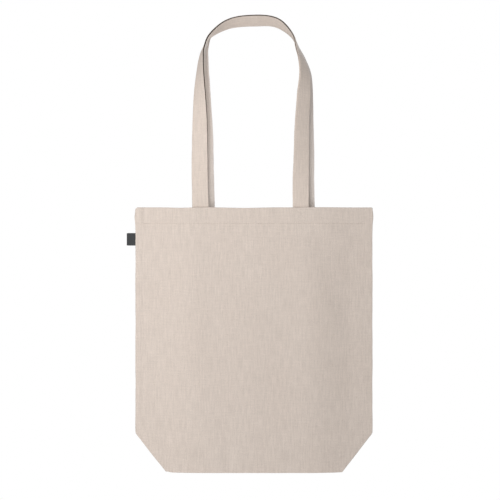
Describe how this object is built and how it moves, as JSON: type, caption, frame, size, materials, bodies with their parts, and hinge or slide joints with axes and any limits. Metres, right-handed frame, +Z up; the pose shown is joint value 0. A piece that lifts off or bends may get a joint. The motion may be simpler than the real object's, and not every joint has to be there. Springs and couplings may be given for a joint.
{
  "type": "canvas tote bag",
  "caption": "Flat canvas tote bag with long shoulder handles, turned hem, tucked bottom gusset and a plain side label, hanging closed.",
  "frame": {"origin": "the hanging point: midway between the two handles, level with the underside of the front handle's arch", "axes": "+X runs across the bag to the right seen from the front, -Y is the front face's outward direction, +Z is up"},
  "size_m": [0.3732, 0.054, 0.695],
  "materials": {
    "canvas": "natural unbleached canvas",
    "canvas_strap": "natural unbleached canvas, folded into a strap",
    "thread": "matte sewing thread",
    "label_cloth": "dark woven tape"
  },
  "bodies": {
    "bag": {"bottom_gusset": "canvas", "left_corner_fold": "canvas", "right_corner_fold": "canvas", "left_side_seam": "canvas", "right_side_seam": "canvas"},
    "front_wall": {"front_panel": "canvas", "front_hem": "canvas", "front_hem_thread": "thread", "front_left_handle_end": "canvas_strap", "front_right_handle_end": "canvas_strap", "front_left_tack": "thread", "front_right_tack": "thread"},
    "rear_wall": {"rear_panel": "canvas", "rear_hem": "canvas", "rear_hem_thread": "thread", "rear_left_handle_end": "canvas_strap", "rear_right_handle_end": "canvas_strap", "rear_left_tack": "thread", "rear_right_tack": "thread"},
    "front_handle": {"front_strap": "canvas_strap"},
    "rear_handle": {"rear_strap": "canvas_strap"},
    "label": {"side_label": "label_cloth"}
  },
  "joints": [
    {"name": "front_wall_open", "type": "hinge", "parent": "bag", "child": "front_wall", "pos_m": [0, -0.0088, -0.67643], "axis": [1, 0, 0], "range_deg": [0, 6], "stiffness_Nm_per_rad": 0.6},
    {"name": "rear_wall_open", "type": "hinge", "parent": "bag", "child": "rear_wall", "pos_m": [0, 0.0088, -0.67643], "axis": [-1, 0, 0], "range_deg": [0, 6], "stiffness_Nm_per_rad": 0.6},
    {"name": "front_handle_fold", "type": "hinge", "parent": "front_wall", "child": "front_handle", "pos_m": [0, -0.0092, -0.27293], "axis": [1, 0, 0], "range_deg": [0, 170]},
    {"name": "rear_handle_fold", "type": "hinge", "parent": "rear_wall", "child": "rear_handle", "pos_m": [0, 0.0092, -0.27293], "axis": [-1, 0, 0], "range_deg": [0, 170]},
    {"name": "label_swing", "type": "hinge", "parent": "bag", "child": "label", "pos_m": [-0.1806, 0, -0.32293], "axis": [0, 0, 1], "range_deg": [-90, 90], "stiffness_Nm_per_rad": 0.0004}
  ],
  "couplings": [
    {"joint": "rear_wall_open", "follows": "front_wall_open", "ratio": 1}
  ]
}
